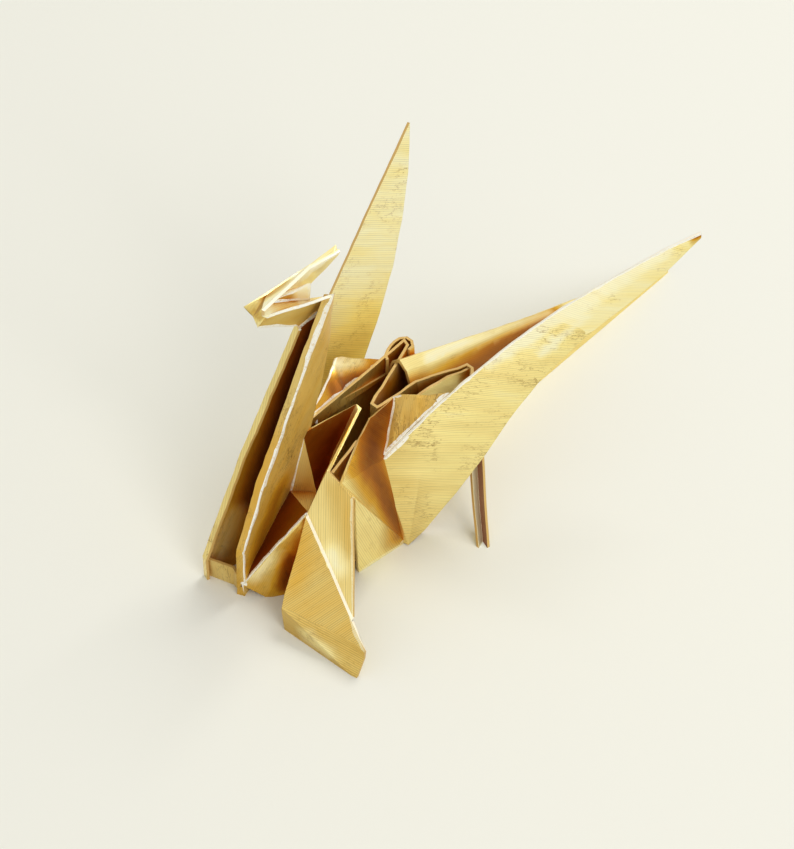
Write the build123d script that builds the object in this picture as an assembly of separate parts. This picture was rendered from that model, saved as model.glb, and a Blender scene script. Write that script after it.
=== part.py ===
from build123d import *
import math
import os

import numpy

# An origami crane folded from one small square of foil paper, in millimetres.
# It faces -Y, its near side is +X, and it stands on z = 0 on its chest, front foot, flanks and tail.
# Each flap is a run of panels that meet at folds or bend softly, and all the flaps are one sheet.

# Sheet
paper = 0.25              # two layers of foil paper pressed together
layer = 0.2               # how far a layer lies below or behind the layer that covers it
hem = 0.55                # narrow turned edge along both sides of the neck
ground = -0.2             # lower edges run a little past the table and are cut level with it

# Body: an open box with pleated upper edges
rim_height = 11.8
belly_height = 1.2        # the hidden sheet that closes the body below
inner_height = 4.0        # how far down the short inner layers reach
pleat_floor = 5.9         # the lower end of the first pleat
pleat_turn = 0.65         # width of the small turn at each pleat's peak
near_peak_across = 1.1    # first pleat: its peak, its lower end, its valley and its corner
near_peak_back = 13.9
near_floor_across = 1.8
near_floor_back = 8.1
near_valley_across = 4.8
near_valley_back = 6.8
near_corner_across = 8.0
near_corner_drop = 0.8
far_front_across = 0.6    # second pleat: where it leaves the neck, its peak and its valley
far_front_back = 9.5
far_peak_across = 1.6
far_peak_back = 22.5
far_pocket_across = 4.4   # the panel that lies open behind it
far_pocket_back = 16.5
far_pocket_drop = 2.6
far_pocket_low_in = 1.2   # how far in its low rear corners lie
far_pocket_end_in = 3.0
far_loop = 0.8            # how wide the outer layer stands off the second pleat
far_loop_back = 19.8
loop_runs = 9             # how many panels the loose layer's turn is made of
far_valley_across = 2.0
far_valley_back = 15.0
last_bow_across = 2.4     # third, short pleat: its bowed middle and its peak
last_bow_back = 19.7
last_peak_across = 4.4
last_peak_back = 24.3
last_layer_across = 3.6   # the loose end of the layer inside the third pleat
last_layer_back = 18.5
last_layer_bend = 2.2     # where it bends, forward of the third pleat's peak

# Near flank: the side of the body below the near wing
flank_front = 8.0         # its hem on the ground
flank_length = 5.1
flank_reach = 7.2
flank_top_across = 6.4
flank_waist = 3.9         # where its upper edge draws in towards the middle
flank_waist_back = 11.3
flank_narrow = 2.85
flank_narrow_back = 13.6
pocket_back = 16.9        # the rear end of its upper edge
pocket_across = 2.4

# Far flank and the hidden sides behind the wings
far_reach = 5.0
far_flank_front = 8.5
rear_hem_across = 5.0
rear_hem_back = 21.5
rear_top_height = 6.5
far_rear_across = 3.4
far_rear_back = 16.6
far_rear_height = 9.6

# Neck: a channel that opens forward, with its ridge behind
neck_foot_back = 4.9
neck_lean = 7.5           # how far the ridge leans back from foot to head
neck_rise = 24.8
neck_bow = 0.9            # how far the ridge bows back at mid height
neck_gap = 2.0            # half of the channel's opening at the chest
neck_gap_top = 1.0
neck_straight = 5.4       # height at which the near edge starts to bow
chest_front = 1.6         # how far the chest stands forward of the ground origin
chest_lip = 2.4           # the small panel that closes the channel at the chest
chest_dent = 1.1          # how far that panel is pushed in at its middle
throat_back = 1.1         # from the ridge's top forward to the near edge's top
throat_rise = 1.4
far_throat_back = 3.2     # from the ridge's top forward to the far edge's top
far_throat_drop = 1.7

# Head: the end of the neck folded forward and back again
jaw_length = 6.9
jaw_rise = 2.2
jaw_depth = 2.7           # from the near edge down to the far edge
nose_height = 1.0
nose_round = 0.6          # how far the nose stands forward of the jaw's end
crest_length = 8.6
crest_bow = 0.9
crest_arch = 0.5
crest_width = 1.5
head_fold = 0.9           # from the near edge in to the ridge
head_fold_back = 1.2
cheek_low = 0.6           # how far the web between jaw and crest reaches along each of them
cheek_high = 0.9

# Tail: a rolled strip that slopes to the ground
tail_start = 20.0
tail_length = 36.4
tail_height = 12.3
tail_spread = 3.2         # half of its width on the ground
tail_round = 2.1          # a higher power makes a fuller roll
tail_tip = 0.45
tail_bow = 0.35           # how far the ridge hollows along its length

# Near wing
wing_root_across = 5.1
wing_root_back = 13.0
wing_root_height = 9.0
wing_span = 33.0          # from the root's upper corner to the tip
wing_sweep = 24.8         # degrees outward from straight back
wing_lift = 31.0          # degrees above level
wing_bend = 0.62          # share of the upper edge where the wing bends
wing_bend_in = 1.2        # how far the bend stands in and up from the straight edge
wing_bend_up = 1.05
wing_chord = 5.1          # width of the wing at the bend
wing_chord_outer = 3.8
wing_chord_tip = 2.4
wing_blunt = 0.5          # width of the folded tip
wing_curl = 0.4           # how far the root's lower corner curls outward
wing_corner = 2.1
wing_hollow = 0.3         # how far the blade bellies outward between its edges
wing_runs = 10            # how many panels the wing's bend is made of
pocket_fold = 0.22        # height of the two creases across the root's pocket
pocket_end = 0.4          # share of the wing's third panel that the pocket reaches

# Far wing
far_root_across = 5.6
far_root_back = 12.0
far_root_height = 11.0
far_wing_span = 25.0
far_wing_sweep = 10.5
far_wing_lift = 42.5
far_wing_chord = 10.2     # width of the wing at its root
far_wing_blunt = 0.35
far_hem_in = 1.0          # the root's lower corner, from straight below its upper corner
far_hem_back = 3.0
far_hem_up = 0.7
far_low_back = 21.5       # three places of its lower edge, on the way to the tip
far_low_height = 7.8
far_mid_back = 26.0
far_mid_height = 15.0
far_high_back = 28.6
far_high_height = 20.7
far_wing_out = 6.0        # how far out the lower edge starts, and how it drifts outward
far_wing_drift = 1.0

# Legs
knee_across = 4.8
knee_back = 4.4
knee_height = 8.5
heel_across = 7.3
heel_front = 0.9
heel_tuck_across = 5.2    # the thigh's folded foot, from the heel back to the chest
heel_tuck_back = 3.2
thigh_foot_across = 3.7
thigh_foot_back = 0.7
thigh_fold = 0.5          # half of the crease between the thigh's two panels
toe_across = 15.3
toe_front = 0.4
foot_band = 2.3
panel_side = 0.78         # share of the leg's length that the square panel covers
rear_foot_across = 12.85
rear_foot_back = 17.55
rear_foot_width = 0.95
rear_hip_width = 1.3
rear_leg_rise = 8.6       # where the rear leg leaves the body
rear_leg_tuck = 5.8
rear_leg_crease = 0.5


def point(across, back, up):
    """A point of the sheet: across to the near side, back towards the tail, and up."""
    return Vector(across, back, up)


def between(start, end, share):
    """The point that lies a share of the way from start to end."""
    return start + (end - start) * share


def below(corner, height):
    """The point straight below a corner at a height above the ground."""
    return point(corner.X, corner.Y, height)


def swept(start, length, sweep, lift):
    """The far end of an edge that runs back from start, turned outward and upward."""
    level = length * math.cos(math.radians(lift))
    outward = level * math.sin(math.radians(sweep))
    backward = level * math.cos(math.radians(sweep))
    return start + Vector(outward, backward, length * math.sin(math.radians(lift)))


def soft(runs, *corners):
    """Points along a smooth edge of the sheet through its corners."""
    edge = Spline(*corners)
    return [edge @ (step / runs) for step in range(runs + 1)]


def turned(peak, shift):
    """The two fold lines of a narrow turn, either side of its peak."""
    return peak - shift / 2, peak + shift / 2


def strip(*stations):
    """The panels between stations, each a row of points across the strip."""
    panels = []
    for here, there in zip(stations, stations[1:]):
        for index in range(len(here) - 1):
            panels.append([here[index], here[index + 1], there[index + 1], there[index]])
    return panels


def place(corner):
    """A corner's rounded coordinates, so that shared corners are known as one."""
    return round(corner.X, 4), round(corner.Y, 4), round(corner.Z, 4)


def half_sheet(corner, facets):
    """The shift from a corner of the middle surface to the sheet's face, mitred at folds."""
    normals = []
    for facet in facets:
        if place(corner) in [place(other) for other in facet]:
            normals.append(tuple((facet[1] - facet[0]).cross(facet[2] - facet[0]).normalized()))
    shift = Vector(*numpy.linalg.lstsq(normals, [paper / 2] * len(normals), rcond=0.01)[0])
    longest_mitre = 1.3 * paper
    return shift * min(1, longest_mitre / shift.length)


def folded(panels):
    """A flap: panels of one winding that meet at folds, thickened to a closed solid."""
    facets = [(panel[0], panel[i], panel[i + 1]) for panel in panels for i in range(1, len(panel) - 1)]
    outer, inner, rims = [], [], {}
    for facet in facets:
        shifts = [half_sheet(corner, facets) for corner in facet]
        outer.append([corner + shift for corner, shift in zip(facet, shifts)])
        inner.append([corner - shift for corner, shift in zip(facet, shifts)][::-1])
        for i, j in ((0, 1), (1, 2), (2, 0)):
            key = frozenset((place(facet[i]), place(facet[j])))
            rims[key] = None if key in rims else (facet[i], facet[j], shifts[i], shifts[j])
    walls = []
    for start, end, start_shift, end_shift in filter(None, rims.values()):
        walls.append([start - start_shift, end - end_shift, end + end_shift])
        walls.append([start - start_shift, end + end_shift, start + start_shift])
    faces = [Face(Wire.make_polygon(corners, close=True)) for corners in outer + inner + walls]
    return Solid(Shell(faces))


# Corners that several flaps share
ridge_foot = point(0, neck_foot_back, ground)
ridge_top = point(0, neck_foot_back + neck_lean, neck_rise)
ridge_floor = between(ridge_foot, ridge_top, pleat_floor / neck_rise)
ridge_rim = between(ridge_foot, ridge_top, rim_height / neck_rise)
near_throat = ridge_top + Vector(neck_gap_top, -throat_back, throat_rise)
far_throat = ridge_top + Vector(-neck_gap_top, -far_throat_back, -far_throat_drop)
far_chest = point(-neck_gap, -chest_front, chest_lip)
chest_corner = point(neck_gap, -chest_front / 2, chest_lip * 0.6)
knee = point(knee_across, knee_back, knee_height)
heel = point(heel_across, -heel_front, ground)
ankle = point(heel_across - layer, -heel_front, foot_band + layer)
toe_top = point(toe_across, heel_front, foot_band)
near_peak = point(near_peak_across, near_peak_back, rim_height)
near_floor = point(near_floor_across, near_floor_back, pleat_floor)
near_valley = point(near_valley_across, near_valley_back, rim_height)
near_corner = point(near_corner_across, near_valley_back - layer, rim_height - near_corner_drop)
flank_top = point(flank_top_across, near_valley_back - layer, rim_height - layer)
flank_draw = point(flank_waist, flank_waist_back, rim_height)
pocket_top = point(pocket_across, pocket_back, rim_height)
flank_hem = point(flank_reach - layer, flank_front, ground)
wing_top = point(wing_root_across, wing_root_back, wing_root_height)
wing_hem = point(flank_reach + layer, flank_front + flank_length, -ground)
wing_tip = swept(wing_top, wing_span, wing_sweep, wing_lift)
wing_crook = between(wing_top, wing_tip, wing_bend) + Vector(-wing_bend_in, wing_bend_in / 4, wing_bend_up)
far_top = point(-far_root_across, far_root_back, far_root_height)
far_hem = far_top + Vector(far_hem_in, far_hem_back, far_hem_up - far_wing_chord)
far_tip = swept(far_top, far_wing_span, -far_wing_sweep, far_wing_lift)
far_front = point(-far_front_across, far_front_back, rim_height)
far_peak = point(-far_peak_across, far_peak_back, rim_height)
far_valley = point(far_valley_across, far_valley_back, rim_height)
last_peak = point(last_peak_across, last_peak_back, rim_height)


def tail_row(back, height, spread):
    """The tail's rolled section at one place along it."""
    shares = [step / 4 for step in range(-4, 5)]
    lift = [height - (height - ground) * abs(share) ** tail_round for share in shares]
    return [point(spread * share, back, up) for share, up in zip(shares, lift)]


def neck():
    """The channel from the chest up to the throat, with a turned hem on each side."""
    far_foot = below(far_chest, ground)
    near_foot = point(neck_gap, -chest_front / 2, ground)
    near_chest = near_foot + Vector(0, layer, neck_straight - ground)
    bow = Vector(0, neck_bow, 0)
    runs = 4
    far_edge = soft(runs, far_chest, between(far_chest, far_throat, 0.5) - bow / 2, far_throat)
    ridge = soft(runs, ridge_floor, between(ridge_floor, ridge_top, 0.5) + bow, ridge_top)
    near_edge = soft(runs, near_chest, between(near_chest, near_throat, 0.5) - bow / 2, near_throat)
    rows = [(far_foot, ridge_foot, near_foot)] + list(zip(far_edge, ridge, near_edge))
    turned_in = Vector(hem, -hem / 3, 0)
    turned_back = Vector(-hem, -hem / 2, 0)
    return folded(strip(*[[far + turned_in, far, middle, near, near + turned_back] for far, middle, near in rows]))


def chest():
    """The low panel that closes the foot of the channel and stands on the ground."""
    dent = point(0.5, -chest_front + chest_dent, chest_lip - layer)
    top = [far_chest, dent, chest_corner]
    foot = [below(far_chest, ground) + Vector(-layer, layer, 0), below(dent, ground), below(chest_corner, ground)]
    return folded(strip(top, foot))


def head():
    """The neck's end, folded forward to the nose and back to the crest."""
    low = near_throat + Vector(0, -jaw_length, jaw_rise)
    nose = low + Vector(0, -nose_round, nose_height / 2)
    high = low + Vector(0, -nose_round, nose_height)
    arch = high + Vector(0, crest_length * 0.6, crest_bow + crest_arch)
    tip = high + Vector(-layer, crest_length, crest_bow)
    across = -2 * neck_gap_top
    ridge = Vector(-head_fold, head_fold_back, -layer)
    return folded(strip(
        [far_throat, ridge_top, near_throat],
        [low + Vector(across, 0.4, -jaw_depth), low + ridge, low],
        [nose + Vector(across, 0.6, -jaw_depth * 0.68), nose + ridge * 1.2, nose],
        [high + Vector(across, 0.1, -jaw_depth / 3), high + ridge * 1.4, high],
        [arch + Vector(across, 0.6, -jaw_depth * 0.8), arch + Vector(-head_fold, 0.7, -jaw_depth), arch],
        [tip + Vector(-crest_width, 1.0, -1.1), tip + Vector(-crest_width / 2, layer, -1.2), tip],
    ))


def cheek():
    """The web of foil that spans the head's fold, from the nose back between jaw and crest."""
    turn = near_throat + Vector(-head_fold, head_fold_back - jaw_length, jaw_rise)
    rise = Vector(0, -nose_round, nose_height)
    arch = Vector(0, crest_length * 0.6, crest_bow + crest_arch - jaw_depth)
    low = between(turn, ridge_top, cheek_low)
    high = between(turn + rise, turn + rise + arch, cheek_high)
    return folded([[turn + rise / 2, low, high]])


def near_pleats():
    """The first pleat of the body and the square panel beside the front leg."""
    turn_in, turn_out = turned(near_peak, Vector(pleat_turn, -pleat_turn / 3, 0))
    return folded(strip(
        [ridge_rim, ridge_floor],
        [turn_in, near_floor],
        [turn_out, near_floor + Vector(pleat_turn, 0, 0)],
        [near_valley, knee],
        [near_corner, between(knee, toe_top, panel_side)],
    ))


def floor():
    """The sloping panel between the neck and the thigh."""
    return folded([[ridge_floor, chest_corner, knee, near_floor]])


def thigh():
    """The wrinkled panels from the chest to the front leg, down to the ground."""
    crease = Vector(thigh_fold, thigh_fold, 0) / 2
    first, second = turned(point(thigh_foot_across, thigh_foot_back, ground), crease)
    tucked = point(heel_tuck_across, heel_tuck_back, ground)
    return folded([
        [chest_corner, first, second, knee],
        [knee, second, tucked],
        [knee, tucked, heel, ankle],
    ])


def front_leg():
    """The broad front leg with its turned foot."""
    toe = point(toe_across + layer / 2, -toe_front, ground)
    return folded([[knee, ankle, toe_top], [ankle, heel, toe, toe_top]])


def flank():
    """The near side of the body, from the pleats down to its hem on the ground."""
    narrow = point(flank_narrow, flank_narrow_back, rim_height)
    return folded([
        [near_corner, flank_hem, wing_hem],
        [flank_top, near_corner, wing_hem],
        [flank_top, wing_hem, wing_top],
        [flank_top, wing_top, flank_draw],
        [flank_draw, wing_top, narrow],
        [narrow, wing_top, pocket_top],
    ])


def inner_pleat():
    """The narrow pleat between the square panel and the flank."""
    front = near_valley + Vector(layer, layer, -layer)
    back = flank_draw + Vector(-layer / 2, -layer / 2, -layer)
    return folded(strip([front, below(front, inner_height)], [back, below(back, belly_height)]))


def far_pleats():
    """The second and third pleats, which rise behind the neck."""
    bow = point(last_bow_across, last_bow_back, rim_height)
    end = last_peak + Vector(1.1, -0.9, 0)
    peak_in, peak_out = turned(far_peak, Vector(pleat_turn, -pleat_turn / 3, 0))
    low_in, low_out = turned(far_valley, Vector(pleat_turn, 0, 0))
    last_in, last_out = turned(last_peak, Vector(pleat_turn, 0, 0))
    walls = [[edge, below(edge, belly_height)] for edge in (far_front, peak_in, peak_out, low_in, low_out)]
    short = [[edge, below(edge, inner_height)] for edge in (bow, last_in, last_out, end)]
    return folded(strip(*walls, *short))


def outer_loop():
    """The loose outer layer that rounds the second pleat's peak."""
    start = point(-far_peak_across + 0.4, far_loop_back, rim_height)
    side = far_peak + Vector(-far_loop, -0.6, 0)
    top = far_peak + Vector(-far_loop * 0.7, 0.4, 0)
    turn = far_peak + Vector(layer, 0.5, 0)
    end = far_peak + Vector(far_loop, -0.5, 0)
    around = soft(loop_runs, start, side, top, turn, end)
    return folded(strip(*[[edge, below(edge, inner_height)] for edge in around]))


def last_layer():
    """The short layer that stands inside the third pleat."""
    start = point(last_layer_across, last_layer_back, rim_height - layer)
    middle = point(last_layer_across + layer, last_peak_back - last_layer_bend, rim_height - layer)
    end = below(last_peak, rim_height - layer)
    return folded(strip(*[[edge, below(edge, inner_height)] for edge in (start, middle, end)]))


def rear_flanks():
    """The sides of the body behind the wings, down to the ground beside the tail."""
    hem_end = point(rear_hem_across, rear_hem_back, ground)
    top_end = point(rear_hem_across - layer, rear_hem_back + 1.2, rear_top_height)
    near = folded([[wing_top, wing_hem, hem_end, top_end]])
    roll = tail_row(tail_start + layer, tail_height, tail_spread)
    far = folded([[far_hem, roll[0], roll[1], point(-far_rear_across, far_rear_back, far_rear_height)]])
    return near + far


def near_wing():
    """The near wing, which bends towards its tip and curls at its root's lower corner."""
    curl = wing_hem + Vector(wing_curl, layer, 0)
    corner = wing_hem + Vector(wing_curl, wing_corner, layer)
    crook_hem = wing_crook + Vector(0.5, -1.7, -wing_chord)
    outer_hem = between(wing_crook, wing_tip, 0.45) - Vector(0, 0, wing_chord_outer)
    tip_hem = between(wing_crook, wing_tip, 0.74) - Vector(0, 0, wing_chord_tip)
    low_tip = wing_tip - Vector(0, 0, wing_blunt)
    belly = Vector(wing_hollow, -wing_hollow / 2, 0)
    middle_crook = between(wing_crook, crook_hem, 0.5) + belly
    upper = soft(wing_runs, wing_top, wing_crook, wing_tip)
    middle = soft(wing_runs, between(wing_top, wing_hem, 0.5), middle_crook, between(wing_tip, low_tip, 0.5))
    straight = between(corner, crook_hem, 0.5)
    lower = [wing_hem, curl] + soft(wing_runs - 2, corner, straight, crook_hem, outer_hem, tip_hem, low_tip)
    return folded(strip(*[list(row) for row in zip(upper, middle, lower)]))


def pocket():
    """The creased panel that lies open inside the near wing's root."""
    inside = Vector(-paper / 2, paper / 4, 0)
    edge = [corner + inside for corner in soft(wing_runs, wing_top, wing_crook, wing_tip)]
    reach = between(edge[2], edge[3], pocket_end)
    rise = Vector(0, 0, pocket_fold)
    first = between(pocket_top, reach, 0.15) + rise
    second = between(pocket_top, reach, 0.65) - rise
    return folded([[pocket_top, edge[0], edge[1], first], [first, edge[1], edge[2], second], [second, edge[2], reach]])


def far_wing():
    """The far wing, which stands up behind the neck."""
    runs = 7
    low = point(-far_wing_out, far_low_back, far_low_height)
    mid = point(-far_wing_out - far_wing_drift, far_mid_back, far_mid_height)
    high = point(-far_wing_out - 2 * far_wing_drift, far_high_back, far_high_height)
    upper = soft(runs, far_top, between(far_top, far_tip, 0.5), far_tip)
    lower = soft(runs, far_hem, low, mid, high, far_tip - Vector(0, 0, far_wing_blunt))
    return folded(strip(*[list(row) for row in zip(upper, lower)]))


def far_pocket():
    """The panel that lies open behind the second pleat's edge."""
    low = rim_height - far_pocket_drop
    return folded([[
        far_front + Vector(-layer, 0.8, 0),
        point(-far_pocket_across, far_pocket_back, rim_height + layer),
        point(-far_pocket_across + far_pocket_low_in, far_low_back, low),
        point(-far_pocket_across + far_pocket_end_in, far_low_back, low + 2 * layer),
        far_front + Vector(0, 1.0, -1.0),
    ]])


def far_flank():
    """The far side of the body, plain and hidden."""
    hem_front = point(-far_reach, far_flank_front, ground)
    return folded([[ridge_rim, ridge_foot, hem_front], [ridge_rim, hem_front, far_hem], [ridge_rim, far_hem, far_top]])


def tail():
    """The rolled strip that slopes back to the ground."""
    runs = 3
    rows = []
    for step in range(runs + 1):
        share = step / runs
        hollow = tail_bow * math.sin(math.pi * share)
        height = tail_height + (tail_tip - tail_height) * share - hollow
        spread = tail_spread + (tail_tip - tail_spread) * share
        rows.append(tail_row(tail_start + tail_length * share, height, spread))
    return folded(strip(*rows))


def rear_leg():
    """The thin rear leg, creased along its length."""
    foot = point(rear_foot_across, rear_foot_back, ground)
    hip = point(rear_leg_tuck, last_peak_back - 1.1, rear_leg_rise)
    side = Vector(1, 1, 0).normalized() / 2
    crease = Vector(-rear_leg_crease, rear_leg_crease, -rear_leg_crease / 2)
    return folded(strip(
        [foot - side * rear_foot_width, foot + crease, foot + side * rear_foot_width],
        [hip - side * rear_hip_width, hip + crease, hip + side * rear_hip_width],
    ))


def belly():
    """The hidden sheet that joins the flanks, the pleats, the neck and the tail below."""
    inset = 2 * layer
    return folded([[
        point(0, neck_foot_back - 2, belly_height),
        point(flank_reach - inset, flank_front, belly_height),
        point(flank_reach, flank_front + flank_length - inset, belly_height),
        point(tail_spread - inset, tail_start + 2, belly_height),
        point(-tail_spread + inset, tail_start + 2, belly_height),
        below(far_hem, belly_height),
        point(-far_reach + inset, far_flank_front, belly_height),
    ]])


def folded_sheet():
    """Every flap joined to one sheet from the head back, cut level where it stands."""
    front = [head, cheek, chest, floor, thigh, front_leg]
    body = [near_pleats, inner_pleat, far_pleats, outer_loop, last_layer, flank, far_flank, rear_flanks, belly]
    back = [near_wing, pocket, far_wing, far_pocket, tail, rear_leg]
    sheet = neck()
    for flap in front + body + back:
        sheet = sheet.fuse(flap())
    room = 200
    above_ground = Pos(0, 0, room / 2) * Box(room, room, room)
    return sheet & above_ground


if __name__ == "__main__":
    os.makedirs("parts", exist_ok=True)
    sheet = folded_sheet()
    box = sheet.bounding_box()
    sheet = Pos(-box.center().X, -box.center().Y, 0) * sheet
    export_step(sheet, "parts/folded_sheet.step")
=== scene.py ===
import math

import bmesh
import bpy
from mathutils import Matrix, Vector, noise


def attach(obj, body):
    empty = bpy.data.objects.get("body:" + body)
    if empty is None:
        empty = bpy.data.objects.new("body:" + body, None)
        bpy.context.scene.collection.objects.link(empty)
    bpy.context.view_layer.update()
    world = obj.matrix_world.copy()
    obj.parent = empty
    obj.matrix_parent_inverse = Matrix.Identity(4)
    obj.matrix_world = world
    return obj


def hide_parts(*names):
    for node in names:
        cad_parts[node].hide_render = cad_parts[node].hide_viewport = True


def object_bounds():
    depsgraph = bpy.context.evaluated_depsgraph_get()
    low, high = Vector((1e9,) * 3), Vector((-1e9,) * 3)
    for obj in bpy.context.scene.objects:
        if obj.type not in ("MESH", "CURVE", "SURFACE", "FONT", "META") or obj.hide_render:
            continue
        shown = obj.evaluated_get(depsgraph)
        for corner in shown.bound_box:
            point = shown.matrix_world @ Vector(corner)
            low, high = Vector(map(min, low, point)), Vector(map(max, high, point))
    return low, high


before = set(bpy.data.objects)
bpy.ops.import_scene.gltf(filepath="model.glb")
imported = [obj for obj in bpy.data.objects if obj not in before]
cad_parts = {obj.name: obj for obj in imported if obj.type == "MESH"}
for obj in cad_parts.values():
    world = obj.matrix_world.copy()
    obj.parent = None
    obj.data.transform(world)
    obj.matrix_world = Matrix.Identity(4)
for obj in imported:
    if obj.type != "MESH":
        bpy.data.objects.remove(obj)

bl_info = {
    "name": "Folded foil crane",
    "version": (1, 0, 0),
    "blender": (4, 5, 0),
    "location": "View3D > Sidebar > Crane",
    "description": "Gives the folded sheet its gold foil paper and sets it on a plain pale table",
    "category": "Object",
}

# The crane's own frame is in metres, and it is measured here in millimetres.
# It faces -Y, its near side is +X, and it stands on z = 0.
MM = 0.001
CAD_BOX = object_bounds()
SHEET = "folded_sheet"
PIECE = "foil_crane"
HAIRLINES = "hairlines"
WEAR = "wear"
TONE = "tone"

# The photograph's view: from the front of the near side, 45 degrees up.
# Its long side and its focal length are in pixels.
AIM_MM = Vector((3.2, -14.86, 14.9))
VIEW_BACK = Vector((0.5, -0.5, math.sqrt(0.5)))
VIEW_DISTANCE_MM = 220.0
PHOTO_LONG_SIDE = 849
PHOTO_FOCAL = 2640.0
SENSOR_MM = 36.0

# Corners nearer than the weld are one, faces that turn less than this are one flat panel,
# and a cut that passes within the slack of a corner goes through it. Tiny keeps a division from zero.
WELD = 0.002 * MM
FLAT_DEGREES = 0.6
CUT_SLACK = 0.0005 * MM
TINY = 1e-9

# The paper's slight waves come from noise with this seed, and start here in it.
WAVE_SEED = 1
WAVE_START = 3.7

# How many of each pattern's features lie along a millimetre of foil. A streak is about 10 mm long
# and 2 mm wide, a scratch runs 3 to 4 mm, a dulled patch is 3 mm across, a dent 1 mm and a speck 0.3 mm.
LINE_STRETCH = 0.04
STREAKS_PER_MM = (0.10, 0.55, 1)
SCRATCHES_PER_MM = (0.35, 1.5, 1)
PATCHES_PER_MM = 0.3
DENTS_PER_MM = 0.9
SPECKS_PER_MM = 3.2
SCRATCH_DEGREES = 32

# How deep the lines and dents are, how round a fold is, and how far the painted shade in a hollow reaches for
# the sheet's own sides.
LINE_DEPTH = 0.012 * MM
DENT_DEPTH = 0.05 * MM
FOLD_RADIUS = 0.06 * MM
HOLLOW = 2.6 * MM
WHITE = "#ffffff"

# The leg's front layer lies over the square panel, with its edge from the knee to the foot's corner.
KNEE = Vector((0.8, -23.2, 8.3))
RIDGE_ACROSS = Vector((0.518, 0.662, 0.543)).normalized()
# The near wing bends towards its tip here.
WING_BEND = Vector((7.9, 0.6, 19.4))
BEND_ACROSS = Vector((-0.27, 0.72, 0.62)).normalized()


def flap(name, normal, along, low, high, *, stain, lines, tone,
         crumple=0.0, recess=1.0, alike=0.8, matt=0.0, parted=None):
    """A panel of the sheet: which way it faces, which way its lines run and the box that holds it, in mm.

    Stain is how much it is rubbed, and lines how strong its lines are. The tone is how dark the panel is
    painted, from 0, clean and pale, to 1, deep amber brown: partly the foil's own tarnish and partly painted
    shade, most of all for the panels in hollows. Crumple is how far it lies out of flat, in mm. Recess is how
    much painted shade darkens it in a hollow, and alike how nearly a face has to turn the panel's way. Matt
    is how much handling has taken off its mirror gloss. A parted panel gives the point and direction of a
    line, and the panel that goes on beyond it.
    """
    facing = Vector(normal).normalized()
    run = Vector(along)
    run = (run - facing * run.dot(facing)).normalized()
    return {
        "name": name,
        "facing": facing,
        "run": run,
        "cross": facing.cross(run),
        "low": Vector(low),
        "high": Vector(high),
        "stain": stain,
        "lines": lines,
        "tone": tone,
        "crumple": crumple,
        "recess": recess,
        "alike": alike,
        "matt": matt,
        "parted": parted,
    }


# No box: a panel that begins at a line on another, or the rest of the sheet.
NOWHERE = (0, 0, 0)
SQUARE_PANEL = flap("square_panel", (0.09, -0.8, 0.59), (-0.5, 0.47, 0.73), NOWHERE, NOWHERE,
                    stain=0.2, lines=1, tone=0.2)
WING_TIP = flap("wing_tip", (0.84, -0.54, 0.0), (0.5, 0.78, -0.36), NOWHERE, NOWHERE,
                stain=0.45, lines=0.4, tone=0.05)

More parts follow.
